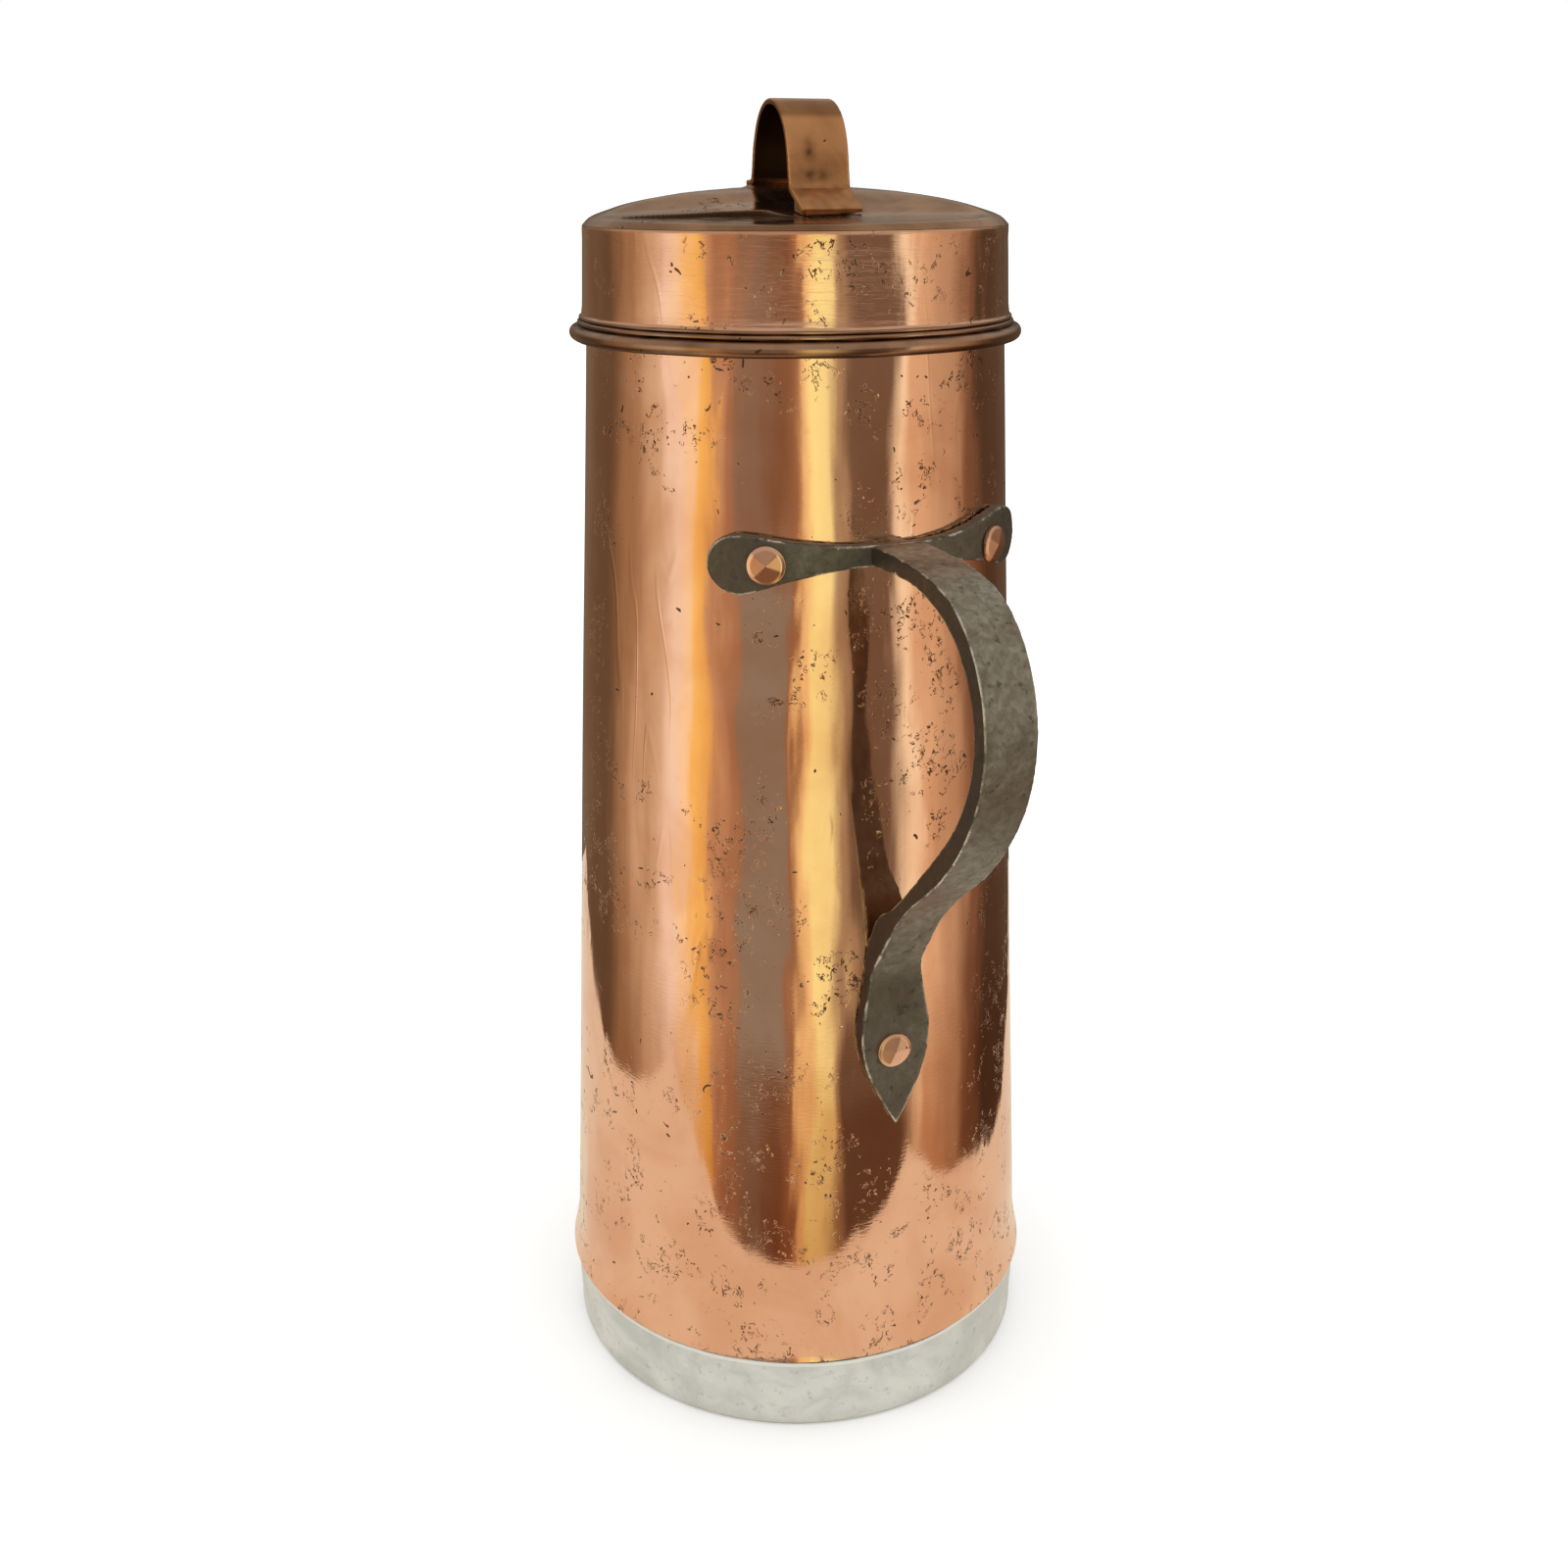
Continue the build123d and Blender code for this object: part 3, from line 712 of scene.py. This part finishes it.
crossbar = worked("iron_crossbar", "handle_crossbar", 0.5, 4, hammered, forged_iron)
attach(crossbar, "can")
strap = worked("iron_grip_strap", "handle_strap", 0.5, 4, hammered, forged_iron)
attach(strap, "can")


def bent(x, y, z):
    """Depth of the slight unevenness of the loop's strip."""
    return 0.05 * (1 + perlin(x / 8, y / 8, z / 8)) + 0.012 * (1 + perlin(x / 2, y / 2, z / 2))


# Middle of the loop's arch.
ARCH_X, ARCH_Z = 3.2, 398.0


def loop_stain_and_shade(x, y, z, normal):
    """Painted shade on the underside of the arch and at the front foot over the crown, a blotch half way up
    the front leg and a smear over its bend.
    """
    # Painted shade on the underside of the arch.
    inwards = Vector((ARCH_X - x, 0, min(0.0, ARCH_Z - z))).normalized()
    under = 0.0
    if abs(x - ARCH_X) < 16:
        under = smooth((normal.dot(inwards) - 0.25) / 0.4) * smooth((z - 387.5) / 1.5)
    ragged = 0.75 + 0.5 * perlin(x / 2, y / 2, z / 2)
    blotch = exp(-((y + 2.8) / 1.8) ** 2 - ((z - 396.5) / 3.0) ** 2) if x > 14 else 0.0
    smear = exp(-((y + 2.0) / 6.0) ** 2 - ((z - 389.6) / 2.0) ** 2) if x > 14 else 0.0
    shoulder = 0.35 * smooth((z - 400) / 4.0)
    if x > 3:
        shoulder = 0.5 * smooth((z - 404.5) / 2.0) * smooth((410.6 - z) / 1.2)
    # Painted shade at the front foot, where it meets the crown.
    foot = 0.42 * smooth((x - 16.8) / 1.0) * smooth((388.0 - z) / 1.5)
    foot *= 0.8 + 0.6 * perlin(x / 3, y / 3, 5.0)
    return max(under, 0.8 * blotch * ragged, 0.85 * smear * ragged, shoulder, foot)


loop = worked("lid_loop", "lid_handle", 0.35, 3, bent, loop_copper)
add_stain_and_shade(loop, loop_stain_and_shade)
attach(loop, "lid")

# --- rivets ------------------------------------------------------------------------------------------
# Azimuth, height, distance of the head's seat from the shell, turn of the facets.
RIVETS = {
    "rivet_upper_left": (-30.4, 288.0, 4.2, 0.4),
    "rivet_upper_right": (31.0, 287.6, 4.2, 1.1),
    "rivet_lower": (-1.4, 137.6, 4.2, 2.0),
}
HEAD_R, HEAD_H, SHANK_R, TAIL_R, TAIL_H = 5.5, 2.2, 2.9, 4.6, 1.5
# Hammered facets of a head: which way each faces, and its slope.
FACETS = ((5, 0.13), (92, 0.17), (183, 0.20), (271, 0.26))
RIVET_SEGMENTS = 64


def head_height(u, v, turn):
    """Height of a hammered head over its seat, at (u, v) from its middle."""
    height = HEAD_H - 0.1
    for facing, slope in FACETS:
        b = radians(facing) + turn * 0.25
        height = min(height, HEAD_H - 0.12 - slope * (u * cos(b) + v * sin(b)))
    return height * (1 - 0.25 * smooth(sqrt(u * u + v * v) - 4.5))


def make_rivet(name, azimuth, height, grip, turn):
    """Rivet square to the wall, from its hammered head to its plain tail inside the can."""
    a = radians(azimuth)
    out = Vector((cos(a), sin(a), WALL_SLOPE)).normalized()
    side = Vector((-sin(a), cos(a), 0))
    up = out.cross(side)
    seat = Vector((wall_radius(height) * cos(a), wall_radius(height) * sin(a), height)) + out * grip
    tail = -(grip + SHEET + 0.2)
    outline = [(0.28 * k, None) for k in range(19)] + [(5.2, None), (5.35, None), (5.45, None)]
    outline += [(HEAD_R, 0.35), (HEAD_R, 0.02), (SHANK_R, 0.02), (SHANK_R, tail), (TAIL_R, tail)]
    outline += [(TAIL_R, tail - 0.35), (TAIL_R - 0.7, tail - TAIL_H + 0.3), (TAIL_R - 1.6, tail - TAIL_H)]
    outline += [(0, tail - TAIL_H)]
    verts, rings = [], []
    for radius, level in outline:
        ring = []
        for k in range(RIVET_SEGMENTS if radius else 1):
            b = 2 * pi * k / RIVET_SEGMENTS
            u, v = radius * cos(b), radius * sin(b)
            w = head_height(u, v, turn) if level is None else level
            ring.append(len(verts))
            verts.append(seat + side * u + up * v + out * w)
        rings.append(ring if radius else ring * RIVET_SEGMENTS)
    faces, face_slots = skin(rings)
    return make_object(name, verts, faces, [rivet_copper], face_slots)


for name, place in RIVETS.items():
    rivet = make_rivet(name + "_head", *place)
    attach(rivet, "can")
    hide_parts(name)

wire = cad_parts["lid_rim_wire"]
for material_slot in wire.material_slots:
    material_slot.material = forged_iron

# --- camera ---------------------------------------------------------------------------------------------
VIEW_AZIMUTH, VIEW_ELEVATION, VIEW_ROLL = 66.5, 20.2, -0.18
CAMERA_PLACE = Vector((-3.8, -524.9, 391.0)) * MM

camera_data = bpy.data.cameras.new("camera")
camera_data.lens = 38.3
camera_data.sensor_width = 36.0
camera = bpy.data.objects.new("camera", camera_data)
bpy.context.scene.collection.objects.link(camera)
turn_view = Matrix.Rotation(radians(VIEW_AZIMUTH), 4, "Z")
tilt_view = Matrix.Rotation(radians(90 - VIEW_ELEVATION), 4, "X")
roll_view = Matrix.Rotation(radians(VIEW_ROLL), 4, "Z")
camera.matrix_world = turn_view @ Matrix.Translation(CAMERA_PLACE) @ (tilt_view @ roll_view)
bpy.context.scene.camera = camera


# --- floor and light ----------------------------------------------------------------------------------
def level_sheet(name, low, high, z, material):
    """Level rectangle between two corners, in metres."""
    mesh = bpy.data.meshes.new(name)
    corners = [(low[0], low[1], z), (high[0], low[1], z), (high[0], high[1], z), (low[0], high[1], z)]
    mesh.from_pydata(corners, [], [(0, 1, 2, 3)])
    mesh.materials.append(material)
    obj = bpy.data.objects.new(name, mesh)
    bpy.context.scene.collection.objects.link(obj)
    return obj


floor_look = Look("floor", Base_Color=(0.90, 0.90, 0.895, 1), Roughness=0.9, Specular_IOR_Level=0.0)
floor = level_sheet("floor", (-30, -30), (30, 30), 0, floor_look.material)
floor.visible_glossy = False

# A pale warm table top under the can, seen only in the copper's reflections.
table_look = Look(
    "table_glow", Base_Color=(0, 0, 0, 1), Specular_IOR_Level=0.0, Emission_Color=(0.80, 0.72, 0.58, 1),
    Emission_Strength=1.0,
)
table = level_sheet("table_glow", (-0.29, -0.185), (0.20, 0.40), 0.0004, table_look.material)
table.matrix_world = Matrix.Rotation(radians(VIEW_AZIMUTH), 4, "Z")
table.visible_camera = False
table.visible_diffuse = False
table.visible_shadow = False

# The room that the copper mirrors: upright panels of warm and white light with dark gaps between, duller low
# down, under a dull warm ceiling. Each has its azimuth, from the camera's side to the right, and its colour.
PANELS = (
    (-180, (0.16, 0.12, 0.08)), (-155, (0.19, 0.14, 0.09)), (-122, (0.15, 0.11, 0.07)),
    (-98, (0.40, 0.30, 0.19)), (-80, (0.70, 0.62, 0.47)), (-67, (1.00, 1.00, 0.95)),
    (-57, (1.06, 1.00, 0.72)), (-51, (1.04, 0.80, 0.25)), (-46, (0.95, 0.70, 0.24)),
    (-41, (0.60, 0.42, 0.27)), (-35, (0.45, 0.29, 0.18)), (-23, (0.28, 0.23, 0.18)),
    (-9, (0.25, 0.15, 0.09)), (-2, (0.36, 0.21, 0.12)), (3, (1.00, 0.85, 0.45)),
    (8, (1.10, 1.25, 0.62)), (15, (1.05, 1.15, 0.60)), (24, (0.42, 0.34, 0.23)),
    (30, (0.19, 0.14, 0.10)), (50, (0.19, 0.14, 0.10)), (62, (1.00, 1.00, 0.80)),
    (70, (0.78, 0.62, 0.43)), (88, (0.55, 0.42, 0.29)), (106, (0.22, 0.13, 0.08)),
    (120, (0.09, 0.06, 0.04)), (152, (0.12, 0.09, 0.06)),
)
world = bpy.data.worlds.new("studio")
bpy.context.scene.world = world
world.use_nodes = True
world.node_tree.nodes.clear()
w = Nodes(world.node_tree)
direction = w.add("TexCoord").outputs["Generated"]
turned = w.add("VectorRotate", {"Vector": direction, "Angle": radians(-VIEW_AZIMUTH)}, rotation_type="Z_AXIS")
right, away, height = w.add("SeparateXYZ", {0: turned.outputs[0]}).outputs
angle = w.math("ARCTAN2", right, w.math("MULTIPLY", away, -1.0))
round_fraction = w.add("MapRange", {"Value": angle, "From Min": -pi, "From Max": pi}).outputs[0]
ramp = w.add("ValToRGB", {"Fac": round_fraction})
ramp.color_ramp.interpolation = "EASE"
stops = ramp.color_ramp.elements
while len(stops) > 1:
    stops.remove(stops[-1])
for k, (azimuth, color) in enumerate(PANELS):
    stop = stops[0] if k == 0 else stops.new((azimuth + 180) / 360)
    stop.position = (azimuth + 180) / 360
    stop.color = (*color, 1.0)
room = w.mix(w.steps(height, -0.34, -0.46), ramp.outputs[0], (0.68, 0.55, 0.46), "MULTIPLY")
room = w.mix(w.steps(height, 0.05, 0.45), room, (0.50, 0.46, 0.40))
# A grey column stands low down, just left of the middle.
left_side, right_side = w.steps(round_fraction, 0.413, 0.425), w.steps(round_fraction, 0.494, 0.486)
top_end, low_end = w.steps(height, -0.10, -0.14), w.steps(height, -0.42, -0.38)
column = w.math("MULTIPLY", w.math("MULTIPLY", left_side, right_side), w.math("MULTIPLY", top_end, low_end))
room = w.mix(column, room, (0.30, 0.29, 0.25))
# Only reflections see the room. All other light comes from plain white.
unmirrored = w.math("SUBTRACT", 1.0, w.add("LightPath").outputs["Is Glossy Ray"])
background = w.add("Background", {"Color": w.mix(unmirrored, room, (1.0, 1.0, 1.0)), "Strength": 1.0})
w.add("OutputWorld", {"Surface": background.outputs[0]})

lamp_data = bpy.data.lights.new("soft_daylight", "SUN")
lamp_data.angle = radians(110)
lamp_data.energy = 1.3
lamp = bpy.data.objects.new("soft_daylight", lamp_data)
bpy.context.scene.collection.objects.link(lamp)
lamp.rotation_euler = Vector((0.25, -0.10, 1.0)).to_track_quat("Z", "Y").to_euler()
lamp.visible_glossy = False

bpy.context.scene.view_settings.view_transform = "Standard"
